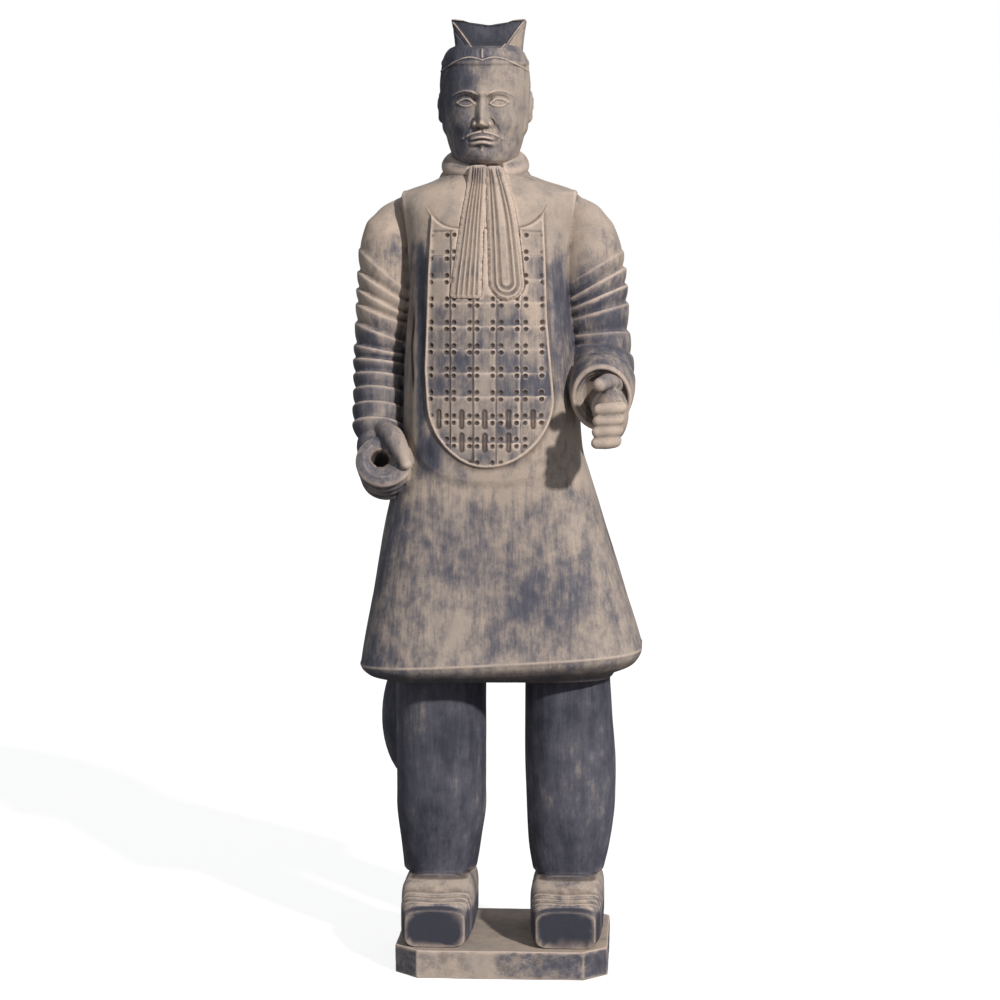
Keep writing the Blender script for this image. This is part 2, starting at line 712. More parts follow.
def mesh_object(name, skins):
    """One object from a list of closed skins, in metres."""
    points, faces, start = [], [], 0
    for skin_points, skin_faces in skins:
        points.append(skin_points)
        faces += [[corner + start for corner in face] for face in skin_faces]
        start += len(skin_points)
    mesh = bpy.data.meshes.new(name)
    mesh.from_pydata((np.vstack(points) * MM).tolist(), [], faces)
    made = bpy.data.objects.new(name, mesh)
    bpy.context.scene.collection.objects.link(made)
    return made


def apply_modifiers(piece):
    """Replaces a piece's mesh by what its modifiers make of it."""
    graph = bpy.context.evaluated_depsgraph_get()
    made = bpy.data.meshes.new_from_object(piece.evaluated_get(graph))
    piece.modifiers.clear()
    old = piece.data
    piece.data = made
    bpy.data.meshes.remove(old)


def remesh(piece, voxel):
    modifier = piece.modifiers.new("skin", "REMESH")
    modifier.mode = "VOXEL"
    modifier.voxel_size = voxel * MM
    modifier.use_smooth_shade = True
    apply_modifiers(piece)


def cut(piece, cutter):
    modifier = piece.modifiers.new("cut", "BOOLEAN")
    modifier.operation = "DIFFERENCE"
    modifier.solver = "MANIFOLD"
    modifier.object = cutter
    apply_modifiers(piece)
    bpy.data.objects.remove(cutter)


def read_points(mesh):
    flat = np.empty(len(mesh.vertices) * 3)
    mesh.vertices.foreach_get("co", flat)
    return flat.reshape(-1, 3) / MM


def write_points(mesh, points):
    mesh.vertices.foreach_set("co", (points * MM).ravel())
    mesh.update()


def read_normals(mesh):
    flat = np.empty(len(mesh.vertices) * 3)
    mesh.vertex_normals.foreach_get("vector", flat)
    return flat.reshape(-1, 3)


def read_edges(mesh):
    flat = np.empty(len(mesh.edges) * 2, int)
    mesh.edges.foreach_get("vertices", flat)
    return flat.reshape(-1, 2)


def smooth_values(values, edges, rounds):
    """Averages each vertex's value with its neighbours' a number of times."""
    count = len(values)
    degree = np.bincount(edges.ravel(), minlength=count).astype(float)[:, None]
    for _ in range(rounds):
        total = np.empty_like(values)
        for column in range(values.shape[1]):
            near = values[:, column]
            total[:, column] = (
                np.bincount(edges[:, 0], near[edges[:, 1]], count)
                + np.bincount(edges[:, 1], near[edges[:, 0]], count)
            )
        values = 0.5 * values + 0.5 * total / degree
    return values


def decimate(piece, most_triangles):
    triangles = sum(len(face.vertices) - 2 for face in piece.data.polygons)
    modifier = piece.modifiers.new("fewer", "DECIMATE")
    modifier.ratio = min(1.0, most_triangles / triangles)
    apply_modifiers(piece)


def write_attribute(mesh, name, values):
    attribute = mesh.attributes.new(name, "FLOAT", "POINT")
    attribute.data.foreach_set("value", values.astype(np.float32))


# ---------------------------------------------------------------- the pieces


def finish_piece(piece, carve, patina_of, most_triangles, relief_rounds):
    """Carves a remeshed skin, notes where it is raised or sunk, and thins it out."""
    mesh = piece.data
    points, edges = read_points(mesh), read_edges(mesh)
    points = smooth_values(points, edges, 1)
    write_points(mesh, points)
    moves, dirt, tone = carve(points, read_normals(mesh))
    points = points + moves
    points = smooth_values(points, edges, 1)
    write_points(mesh, points)
    normals = read_normals(mesh)
    broad = smooth_values(points, edges, relief_rounds)
    relief = np.einsum("ij,ij->i", normals, points - broad)
    relief = smooth_values(relief[:, None], edges, 1)[:, 0]
    tree = KDTree(len(points))
    for index, point in enumerate(points):
        tree.insert(point, index)
    tree.balance()
    decimate(piece, most_triangles)
    low, high = (np.array(corner) / MM for corner in CAD_BOX)
    final = np.clip(read_points(piece.data), low, high)
    write_points(piece.data, final)
    nearest = np.array([tree.find(point)[1] for point in final])
    patina, rubbed = patina_of(final, read_normals(piece.data))
    write_attribute(piece.data, "relief", relief[nearest])
    write_attribute(piece.data, "dirt", dirt[nearest])
    write_attribute(piece.data, "patina", patina + tone[nearest])
    write_attribute(piece.data, "rubbed", rubbed)
    for polygon in piece.data.polygons:
        polygon.use_smooth = True
    return piece


def carve_body(points, normals):
    """Moves of the body's points along their normals, their dirt, and extra patina."""
    x, y, z = points.T
    count = len(x)
    out = 0.5 * lattice_noise(points, 90, 1) + 0.25 * lattice_noise(points, 28, 2)
    dirt, tone = np.zeros(count), np.zeros(count)
    for move, soil in (carve_vest(x, y, z), carve_hem(x, z), carve_hands(points),
                       carve_shoes(x, y, z, normals)):
        out += move
        dirt = np.maximum(dirt, soil)
    on_front = (y < 0) & (normals[:, 1] < -0.15)
    on_tail = np.zeros(count, bool)
    for tail in SCARF_TAILS:
        flutes, soil, covered = carve_tail(tail, x, z)
        chosen = on_front & covered
        out[chosen], dirt[chosen] = flutes[chosen], soil[chosen]
        on_tail |= covered
    chosen = np.flatnonzero(on_front & ~on_tail & (np.abs(x) < 160) & (z > 960) & (z < 1480))
    move, soil, plate_tone = carve_plates(x[chosen], z[chosen])
    lip, line = carve_neckline(x[chosen], z[chosen])
    out[chosen] += move + lip
    dirt[chosen] = np.maximum(soil, line)
    tone[chosen] = plate_tone
    return normals * out[:, None], dirt, tone


def carve_vest(x, y, z):
    """The step at the vest's edge: crisp with a low ridge above, soft below, and the dark
    crease beside its right edge where the arm hangs close."""
    near = np.flatnonzero((np.abs(x - sway(z)) < 190) & (z > 920))
    inside = outline_distance(x[near], z[near], vest_outline())
    crisp = ramp(z[near], 1230, 1330)
    out, dirt = np.zeros(len(x)), np.zeros(len(x))
    step = mix(ramp(inside, -8, 12), ramp(inside, -1.5, 2), crisp)
    out[near] = VEST["proud"] * step + 1.6 * crisp * bump((inside - 3.5) / 5)
    dirt[near] = 0.55 * crisp * bump((inside + 3) / 5)
    c = CREASE
    across = x - c["x"] - 5 * lattice_noise(np.stack([z * 0, z * 0, z], axis=-1), 60, 31)
    length = ramp(z, c["low"], c["low"] + 50) * ramp(c["high"] - z, 0, 60) * (y < 20)
    out -= c["depth"] * bump(across / c["width"]) * length
    streaks = 0.5 + 0.5 * lattice_noise(np.stack([x, y, z * 0.08], axis=-1), 6, 32)
    recess = bump((x + 171) / 26) * ramp(z, 985, 1060) * ramp(1400 - z, 0, 120) * (y < 20)
    dirt = np.maximum(dirt, length * ramp(1.2 - np.abs(across) / c["width"], 0, 0.5))
    return out, np.maximum(dirt, 0.6 * recess * streaks)


def carve_hem(x, z):
    """A thin ridge round the hem and the soiled bevel under it."""
    h = HEM_RIDGE
    above = z - h["height"] - HEM_TILT["slope"] * (x - sway(z))
    ridge = h["proud"] * bump(above / h["width"]) * (z > 560)
    return ridge, 0.55 * ramp(-above, 9, 22) * ramp(z, 560, 566)


def carve_hands(points):
    """Rough skin on the hands, dark hollows in the grip and between thumb and fingers."""
    x, y, z = points.T
    right = bump(np.hypot((x + 223) / 95, np.hypot((y + 100) / 110, (z - 985) / 90)))
    left = bump(np.hypot((x - 205) / 80, np.hypot((y + 240) / 85, (z - 1090) / 90)))
    rough = np.minimum(1.6 * (right + left), 1)
    offset = points - grip_point(*FIST["hole"]["offset"], 0)
    along = offset @ grip_frame()[2]
    away = np.linalg.norm(offset - along[:, None] * grip_frame()[2], axis=1)
    bore = ramp(FIST["hole"]["radius"] + 5 - away, 0, 4) * (right > 0)
    pebbles = lattice_noise(points, 5, 42) * bore
    move = rough * (0.9 * lattice_noise(points, 16, 41) + 0.4 * lattice_noise(points, 6, 43))
    cuff = ramp(y, -196, -180) * ramp(x, 150, 160) * ramp(z, 1040, 1060) * ramp(1160 - z, 0, 10)
    inner = cuff * ramp(np.hypot(x - 190, z - 1108), 56, 48) * (y < -110)
    return move + 1.2 * pebbles, np.maximum(0.75 * bore, 0.7 * inner)


def carve_shoes(x, y, z, normals):
    """Arched ridges across the toes, straps at the sides and the seam under the trousers."""
    s = SHOE
    middle = np.where(x < 0, s["right_x"], s["left_x"])
    u = x - middle
    low = ramp(176 - z, 0, 4) * ramp(z, FLOOR, FLOOR + 6)
    top = ramp(normals[:, 2], 0.35, 0.7) * low
    behind = y - s["toe"] - 0.004 * u**2
    out, dirt = np.zeros(len(x)), np.zeros(len(x))
    for at in s["ridges"]:
        out += 1.8 * bump((behind - at) / 4.5) * top
        dirt = np.maximum(dirt, 0.6 * bump((behind - at - 5.5) / 3) * top)
    for at in s["straps"]:
        out += 1.6 * bump((y - s["toe"] - at) / 5) * low * (1 - top)
    seam = bump((z - 173) / 5) * (y < 200)
    out -= 2.4 * seam
    return out, np.maximum(dirt, 0.8 * seam)


def carve_tail(tail, x, z):
    """Thin ridges down a scarf tail, nested in a U where its end is round."""
    middle, half_width = tail_path(tail)(z)
    foot, radius = tail["foot"][1], tail["half_widths"][2]
    away = np.abs(x - middle)
    if tail["is_round"]:
        below = np.clip(foot + radius - z, 0, None)
        away = np.hypot(away, below)
        share = np.clip((away / half_width - 0.22) * tail["flutes"] / 2, 0, None)
    else:
        share = (x - middle + half_width) / (2 * half_width) * tail["flutes"]
    covered = (away < half_width * 1.14) & (z > foot - 2)
    ridge = np.abs(np.cos(np.pi * share)) ** 2.5
    ridge = np.where(away < half_width * 0.97, ridge, 1.0)
    rim = ramp(away / half_width, 0.96, 1.04)
    dirt = np.maximum(0.85 * (1 - ridge) * (0.55 + 0.45 * ramp(z, 1380, 1480)), 0.8 * rim)
    return SCARF["flute"] * (ridge - 1), dirt, covered & (z < tail["top"][1] + 8)


def carve_neckline(x, z):
    """A cut line round the neck opening with a low lip below it."""
    n = NECKLINE
    line = n["low"] + n["rise"] * np.minimum(np.abs(x - n["x"]) / n["reach"], 1.05) ** n["power"]
    below = line - z
    inside = ramp(n["reach"] + 2 - np.abs(x - n["x"]), 0, 6)
    lip = 1.6 * bump((below - 2.5) / 4) + 0.8 * ramp(below, -1, 2) * ramp(16 - below, 0, 12)
    return inside * (lip - 1.2 * bump((below + 2) / 3)), 0.6 * inside * bump((below + 2) / 3)


def carve_plates(x, z):
    """The armour plates: stepped columns and rows, laced together through pits and loops.
    Gives the moves, the dirt, and each plate's own share of patina."""
    p = PLATES
    inside = outline_distance(x, z, plates_outline())
    neck = NECKLINE["low"] + NECKLINE["rise"] * (
        np.minimum(np.abs(x - NECKLINE["x"]) / NECKLINE["reach"], 1.05) ** NECKLINE["power"]
    )
    below_neck = ramp(neck - z, 0, 3)
    step = p["proud"] * ramp(inside, -1.2, 1.6) * below_neck
    rim = p["rim"] * bump((inside - 3) / 4.5) * below_neck
    lines = np.array(p["lines"])
    middle_column = len(lines) // 2
    column = np.searchsorted(lines, x)
    edges = np.concatenate([[p["left"]], lines, [p["right"]]])
    centre = (edges[column] + edges[column + 1]) / 2
    down = -p["column_step"] * np.abs(column - middle_column)
    to_line = np.min(np.abs(x[:, None] - lines[None, :]), axis=1)
    row = (p["first_row"] - z) / p["pitch"]
    part = row - np.floor(row)
    slope = p["row_step"] * (1 - part) * ramp(row, -0.02, 0.03)
    line = np.maximum(bump(to_line / 2.6), bump((part * p["pitch"] + 1.2) / 2.4))
    pit, hole = carve_pits(x, z, centre)
    lace, slot = carve_laces(x, z, centre, column)
    on_plates = ramp(inside, 3, 7) * ramp(p["first_row"] + 3 - z, 0, 3)
    out = step + rim + on_plates * (down + slope - p["groove"] * line + pit + lace)
    left_lines = bump(to_line / 3) * (x < lines[2])
    dirt = on_plates * np.maximum(np.maximum(hole, slot), 0.75 * left_lines)
    dirt = np.maximum(dirt, 0.5 * bump((inside + 3) / 5) * below_neck)
    key = np.sin(np.floor(row) * 12.9898 + column * 78.233) * 43758.5453
    plate_tone = 0.42 * (key - np.floor(key)) - 0.08 + 0.12 * ramp(z, 1350, 1150)
    beside = bump((x + 148) / 16) * ramp(z, 1010, 1080) * ramp(1420 - z, 0, 60)
    tone = on_plates * plate_tone + (1 - ramp(inside, 0, 3)) * 0.75 * beside
    return out, dirt, tone


def carve_pits(x, z, centre):
    """Lacing holes in pairs above and below each row line."""
    p = PLATES
    side = np.sign(x - centre) * PITS["across"]
    nearest = np.round((p["first_row"] - z) / p["pitch"])
    line = p["first_row"] - nearest * p["pitch"]
    beside = np.where(z > line, PITS["beside"], -PITS["beside"])
    away = np.hypot(x - centre - side, z - line - beside) / PITS["radius"]
    real = (nearest <= p["rows"]) & ((nearest > 0) | (z < line))
    pit = -PITS["depth"] * ramp(1.15 - away, 0, 0.5) + PITS["rim"] * bump((away - 1.35) / 0.4)
    return np.where(real, pit, 0), np.where(real, ramp(1.3 - away, 0, 0.4), 0)


def carve_laces(x, z, centre, column):
    """Upright lacing loops across the lower row lines: a slot round a raised cord."""
    out, dirt = np.zeros(len(x)), np.zeros(len(x))
    for row in LACES["rows"]:
        line = PLATES["first_row"] - row * PLATES["pitch"]
        is_there = (row < LACES["rows"][-1]) | ((column > 0) & (column < len(PLATES["lines"])))
        round_end = np.clip(np.abs(z - line) - LACES["half_height"] + LACES["half_width"], 0, None)
        away = np.hypot(x - centre, round_end) / LACES["half_width"]
        slot = -LACES["depth"] * ramp(1.25 - away, 0, 0.4) + LACES["cord"] * bump(away / 0.6)
        out += np.where(is_there, slot, 0)
        dirt += np.where(is_there, ramp(1.35 - away, 0, 0.4) * (1 - 0.5 * bump(away / 0.7)), 0)
    return out, dirt


def line_ridge(u, z, curve, width):
    """A hill along a curve of (u, z) points: 1 on the line, 0 at its width."""
    nearest = np.full(len(u), 1e9)
    for (u0, z0), (u1, z1) in zip(curve[:-1], curve[1:]):
        du, dz = u1 - u0, z1 - z0
        t = np.clip(((u - u0) * du + (z - z0) * dz) / (du * du + dz * dz), 0, 1)
        nearest = np.minimum(nearest, np.hypot(u - u0 - t * du, z - z0 - t * dz))
    return bump(nearest / width)


def mound(u, z, centre, radii):
    """A rounded hill one high."""
    away = np.hypot((u - centre[0]) / radii[0], (z - centre[1]) / radii[1])
    return bump(away)


def arc(start, middle, end, count=14):
    return np.vstack([bend(start, middle, end, count=count), [end]])


def face_forward(u, z):
    """How far the face stands forward of the plain oval: brow, sockets, nose, lips, chin."""
    f = FACE
    side = np.abs(u)
    out = 5.5 * bump((z - f["brow"]) / 14) * bump(side / 62) * (1 - 0.4 * bump(side / 12))
    out -= 10.0 * mound(side, z, (f["eye_spacing"] - 1, f["eye"] + 2), (27, 17))
    out -= 4.0 * mound(side, z, (13, f["eye"] + 5), (11, 14))
    eye = mound(side, z, (f["eye_spacing"], f["eye"]), (f["eye_half"] + 6, 13))
    out += 8.0 * np.sqrt(eye)
    inner, outer = f["eye_spacing"] - f["eye_half"], f["eye_spacing"] + f["eye_half"] + 2
    upper = arc((inner, f["eye"] - 2.5), (f["eye_spacing"] - 2, f["eye"] + 14), (outer, f["eye"]))
    lower = arc((inner, f["eye"] - 2.5), (f["eye_spacing"] + 2, f["eye"] - 13), (outer, f["eye"]))
    out += 3.6 * line_ridge(side, z, upper, 3.4) + 2.6 * line_ridge(side, z, lower, 2.8)
    out -= 1.8 * line_ridge(side, z, upper + (0, 6), 2.8)
    out += 2.4 * line_ridge(side, z, arc((10, f["brow"] - 5), (30, f["brow"] + 12),
                                         (58, f["brow"] - 4)), 4.2)
    out += nose_forward(side, z)
    out += 6.0 * mound(side, z, (43, 1635), (30, 30))
    out -= 2.6 * line_ridge(side, z, arc((18, 1630), (29, 1618), (34, 1600)), 6)
    out -= 4.0 * mound(side, z, (51, 1598), (24, 26))
    out += 6.0 * mound(u, z, (0, f["chin"] + 2), (28, 18))
    out -= 3.5 * mound(u, z, (0, 1580), (26, 8))
    return out + mouth_forward(u, side, z)


def nose_forward(side, z):
    f = FACE
    down = np.clip((f["brow"] + 2 - z) / (f["brow"] + 2 - f["nose"] - 6), 0, 1)
    height = mix(6, 21, down ** 1.15) * ramp(z, f["nose"] - 3, f["nose"] + 5)
    height = height * ramp(f["brow"] + 12 - z, 0, 14)
    width = mix(12, 17, down)
    bridge = height * bump(side / width) ** 0.75
    tip = 3.5 * mound(side, z, (0, f["nose"] + 7), (11, 10))
    wing = 10.5 * mound(side, z, (14, f["nose"] + 7), (9, 10)) ** 0.8
    nostril = -5.0 * mound(side, z, (7.5, f["nose"] - 0.5), (5, 3.5))
    crease = arc((17, f["nose"] + 17), (26, f["nose"] + 8), (19, f["nose"] - 2))
    return np.maximum(bridge, wing) + tip + nostril - 2.4 * line_ridge(side, z, crease, 3)


def mouth_forward(u, side, z):
    f = FACE
    half = f["mouth_half"]
    line = f["mouth"] + 1.5 * np.cos(np.pi * side / half) - 1.0
    along = np.clip(1 - (side / half) ** 2, 0, 1)
    upper = 5.6 * bump((z - line - 4.5) / 6.5) * along ** 0.7
    lower = 6.4 * bump((z - line + 5.5) / 8) * along ** 0.6
    groove = -4.2 * bump((z - line) / 2.4) * np.clip(1 - (side / (half + 3)) ** 2, 0, 1) ** 0.4
    corner = -2.2 * mound(side, z, (half + 2, f["mouth"] - 1), (6, 6))
    muzzle = 4.0 * mound(u, z, (0, f["mouth"] + 3), (36, 26))
    philtrum = -1.4 * bump(u / 4) * bump((z - 1610) / 6)
    return upper + lower + groove + corner + muzzle + philtrum


def beard_forward(u, z):
    """A combed moustache with outward tips, and a small tuft under the lip."""
    side = np.abs(u)
    path = arc((3, 1609), (22, 1607), (45, 1594), 18)
    body = 4.2 * line_ridge(side, z, path, 5.2) * ramp(48 - side, 0, 14)
    hairs = 0.7 * np.sin((z + 0.35 * side) * 2.3) * (body > 0.8)
    tuft = 4.0 * mound(u, z, (0, 1579), (7, 9)) * (1 + 0.25 * np.cos(u * 2.4))
    return body + hairs + tuft


def carve_hair(u, y, z, front):
    """Combed strands swept back from a thin ridge that arches over the brow and round the
    temples, with a parting above the middle."""
    h = HAIRLINE
    side = np.abs(u)
    arch = h["arch"] * np.sin(np.pi * np.minimum(side / h["reach"], 1))
    line = h["height"] + arch - h["fall"] * np.clip(side - h["reach"], 0, None)
    above = z - line
    edge = np.clip(above / h["width"] / 1.3, -1, 1)
    out = front * (h["proud"] * bump(edge) - 0.7 * bump((above + 4) / 3.5))
    temple = line_ridge(y, z, [(-55, 1730), (-40, 1716), (-29, 1690), (-25, 1650), (-22, 1612)], 3)
    out = np.maximum(out, 1.3 * temple * ramp(side, 60, 70))
    turn = np.arctan2(u, -y)
    combed = ramp(above, 5, 10) * front
    behind = ramp(y, HAIR["front"] + 6, HAIR["front"] + 14)
    strands = np.sin(turn * 64 + 0.02 * z + 0.8 * np.sin(z * 0.05))
    out += 0.6 * strands * np.maximum(combed * 0.6, behind * (1 - front))
    out += 2.4 * bump(u / 3.2) * ramp(above, 2, 5) * front * ramp(h["height"] + 24 - z, 0, 3)
    out -= 1.4 * bump((side - 5.5) / 3) * ramp(above, 2, 5) * front
    return out


def carve_ear(y, z):
    """Helix, hollow, inner fold and lobe, cut into the outer face of an ear."""
    e = EAR
    up = (z - e["height"]) / e["half_height"]
    ahead = (HEAD["y"] + e["y"] - y + e["lean"] * (z - e["height"])) / e["depth"]
    away = np.hypot(up, ahead * 0.95)
    helix = 1.4 * bump((away - 0.80) / 0.20) * ramp(up, -0.7, -0.3)
    hollow = -5.5 * bump((np.hypot((up - 0.05) / 0.62, (ahead + 0.05) / 0.55)) / 1.0)
    fold = 2.6 * bump((np.hypot(up - 0.05, (ahead + 0.1) * 0.9) - 0.42) / 0.16) * ramp(up, -0.3, 0.0)
    lobe = 1.5 * mound(ahead, up, (0.1, -0.75), (0.5, 0.3))
    return helix + hollow + fold + lobe


def carve_headdress(x, y, z):
    """A sunk front that widens upward between two side wings."""
    h = HEADDRESS
    share = np.clip((z - h["foot"]) / (h["top"] - h["foot"]), 0, 1)
    half = mix(h["foot_half"][0], h["top_half"][0], share**1.6)
    u = (x - h["centre"][0]) / half
    front = ramp(h["centre"][1] - y, 8, 14)
    panel = mix(0.34, 1.02, share)
    inner = ramp((panel - np.abs(u)) * half, 0, 3) * ramp(h["top"] - 3 - z, 0, 4)
    seam = bump((panel - np.abs(u)) * half / 3.2)
    crease = bump((np.abs(u) - panel - 0.16) * half / 3)
    low = ramp(share, 0.14, 0.24) * ramp(share, 1.0, 0.85)
    out = -4.0 * inner + 1.6 * seam * low - 1.4 * crease * low
    return out * front * ramp(share, 0.1, 0.2)


def carve_head(points, normals):
    """Moves of the head's points: the face straight forward, the rest along the normals."""
    x, y, z = points.T
    u = x - HEAD["x"]
    turned = -normals[:, 1]
    front = ramp(turned, -0.05, 0.35) * (y < 0)
    wide = ramp(74 - np.abs(u), 0, 18)
    forward = (face_forward(u, z) + beard_forward(u, z)) * front * wide
    forward *= ramp(z, 1546, 1556) * ramp(1727 - z, 0, 8)
    forward[np.abs(u) > 75] = 0
    along = 0.25 * lattice_noise(points, 30, 11)
    is_dress = z > HEADDRESS["foot"] + 6
    is_ear = (np.abs(u) > 81) & (z < 1700) & (z > 1628) & (y > -14) & (y < 34)
    plain = ~is_dress & ~is_ear
    along[is_dress] += carve_headdress(x[is_dress], y[is_dress], z[is_dress])
    along[is_ear] += carve_ear(y[is_ear], z[is_ear])
    hair = carve_hair(u, y, z, front)
    along[plain] += hair[plain] * ramp(z[plain], 1600, 1612)
    move = normals * along[:, None]
    move[:, 1] -= forward
    return move, np.zeros(len(x)), np.zeros(len(x))


def carve_plinth(points, normals):
    """Worn corners, a rough side and a few chips along the top edge."""
    z = points[:, 2]
    side = ramp(np.abs(normals[:, 2]), 0.7, 0.3)
    out = 0.5 * lattice_noise(points, 60, 21) + 0.35 * lattice_noise(points, 14, 22)
    out += side * 0.5 * (lattice_noise(points, 7, 23) - 0.4)
    edge = ramp(z, PLINTH_TOP - 16, PLINTH_TOP - 2)
    chips = ramp(lattice_noise(points * (1, 1, 0.2), 26, 24), 0.35, 0.9)
    out -= 3.6 * chips * edge * side
    dirt = 0.35 * side * ramp(lattice_noise(points, 18, 25), 0, 0.8)
    return normals * np.minimum(out, 0.3)[:, None], dirt, np.zeros(len(z))


def patina_of_body(points, normals):
    """How much slate patina lies on each point of the body, and how far its edges are rubbed."""
    x, y, z = points.T
    patina = 0.30 * np.ones(len(x))
    patina += 0.22 * ramp(z, 960, 880)
    patina += 0.40 * ramp(z, 600, 560) + 0.06 * ramp(z, 330, 200)
    patina -= 0.38 * ramp(z, 1380, 1470) * ramp(z, 1545, 1500)
    patina += 0.25 * ramp(z, 1500, 1530)
    arm = ramp(np.abs(x - sway(z)), 150, 175) * ramp(z, 900, 960)
    patina += arm * ramp(x, 0, -10) * (0.55 * ramp(z, 1300, 1180) - 0.1)
    patina += arm * ramp(x, 0, 10) * (0.08 * ramp(z, 1330, 1200) - 0.25 * ramp(z, 1180, 1090))
    patina += 0.25 * ramp(x - sway(z), 95, 125) * ramp(z, 1080, 1160) * ramp(1400 - z, 0, 80) * (y < 0)
    patina += 0.85 * bump((x + 132) / 46) * bump((z - 1000) / 62) * (y < 0)
    patina -= 0.5 * ramp(z, 176, 170) * ramp(z, 118, 126)
    toe = ramp(y, -143, -149) * ramp(z, 176, 150) * ramp(z, 56, 70)
    patina += 0.9 * toe
    patina -= 0.3 * ramp(normals[:, 2], 0.6, 0.9) * ramp(z, 200, 150)
    rubbed = 0.65 + 0.25 * ramp(z, 600, 900)
    return patina, rubbed


def patina_of_head(points, normals):
    """How much slate patina lies on each point of the head, and how far it is rubbed."""
    x, y, z = points.T
    u = x - HEAD["x"]
    patina = 0.50 + 0.30 * ramp(u, 10, -60) - 0.12 * ramp(u, 10, 60)
    patina += 0.22 * ramp(z, HAIRLINE["height"] - 2, HAIRLINE["height"] + 4)
    patina += 0.12 * ramp(y, 0, 40)
    dress = ramp(z, HEADDRESS["foot"] + 16, HEADDRESS["foot"] + 20)
    share = (z - HEADDRESS["foot"]) / (HEADDRESS["top"] - HEADDRESS["foot"])
    panel = np.abs(x - HEADDRESS["centre"][0]) - mix(24, 73, share)
    patina += dress * (0.25 * ramp(panel, 0, -4) - 0.55 * ramp(panel, 0, 4) * (x > -31))
    return patina, 0.95 * np.ones(len(x))


def patina_of_plinth(points, normals):
    """How much slate patina lies on each point of the plinth, and how far it is rubbed."""
    x = points[:, 0]
    side = ramp(np.abs(normals[:, 2]), 0.7, 0.4)
    patina = -0.25 + side * (0.62 + 0.25 * ramp(x, -60, 120))
    patina += 0.4 * side * ramp(normals[:, 0], -0.4, -0.7)
    return patina, 0.6 * np.ones(len(x))


def make_body():
    skins = [make_robe(), make_collar(), *map(make_scarf_tail, SCARF_TAILS),
             make_sleeve(RIGHT_SLEEVE, False), make_sleeve(LEFT_SLEEVE, True),
             *make_fist(), *make_hand(), make_leg(RIGHT_LEG), make_leg(LEFT_LEG),
             ball(**RIGHT_LEG_DRAPE), make_shoe(SHOE["right_x"]), make_shoe(SHOE["left_x"])]
    piece = mesh_object("warrior_body", skins)
    remesh(piece, 2.0)
    offset, radius = FIST["hole"]["offset"], FIST["hole"]["radius"]
    hole = rod([grip_point(*offset, -90), grip_point(*offset, 110)], (radius, radius))
    cut(piece, mesh_object("cutter", [make_socket()]))
    cut(piece, mesh_object("cutter", [hole]))
    return finish_piece(piece, carve_body, patina_of_body, TRIANGLES["body"], 14)


def make_head():
    skins = [make_skull(), make_headband(), make_headdress(), make_dress_band(), make_ear(-1),
             make_ear(1)]
    piece = mesh_object("warrior_head", skins)
    remesh(piece, 1.2)
    return finish_piece(piece, carve_head, patina_of_head, TRIANGLES["head"], 14)


def make_base():
    piece = mesh_object("statue_plinth", [make_plinth()])
    remesh(piece, 3.0)
    return finish_piece(piece, carve_plinth, patina_of_plinth, TRIANGLES["plinth"], 10)


# ---------------------------------------------------------------- finishes

CREAM = (0.50, 0.405, 0.335)
BEIGE = (0.385, 0.325, 0.285)
GREY_CLAY = (0.225, 0.205, 0.20)
SLATE = (0.088, 0.089, 0.118)
DARK_SLATE = (0.030, 0.032, 0.050)
BROWN = (0.060, 0.040, 0.031)
PALE_EDGE = (0.62, 0.50, 0.425)


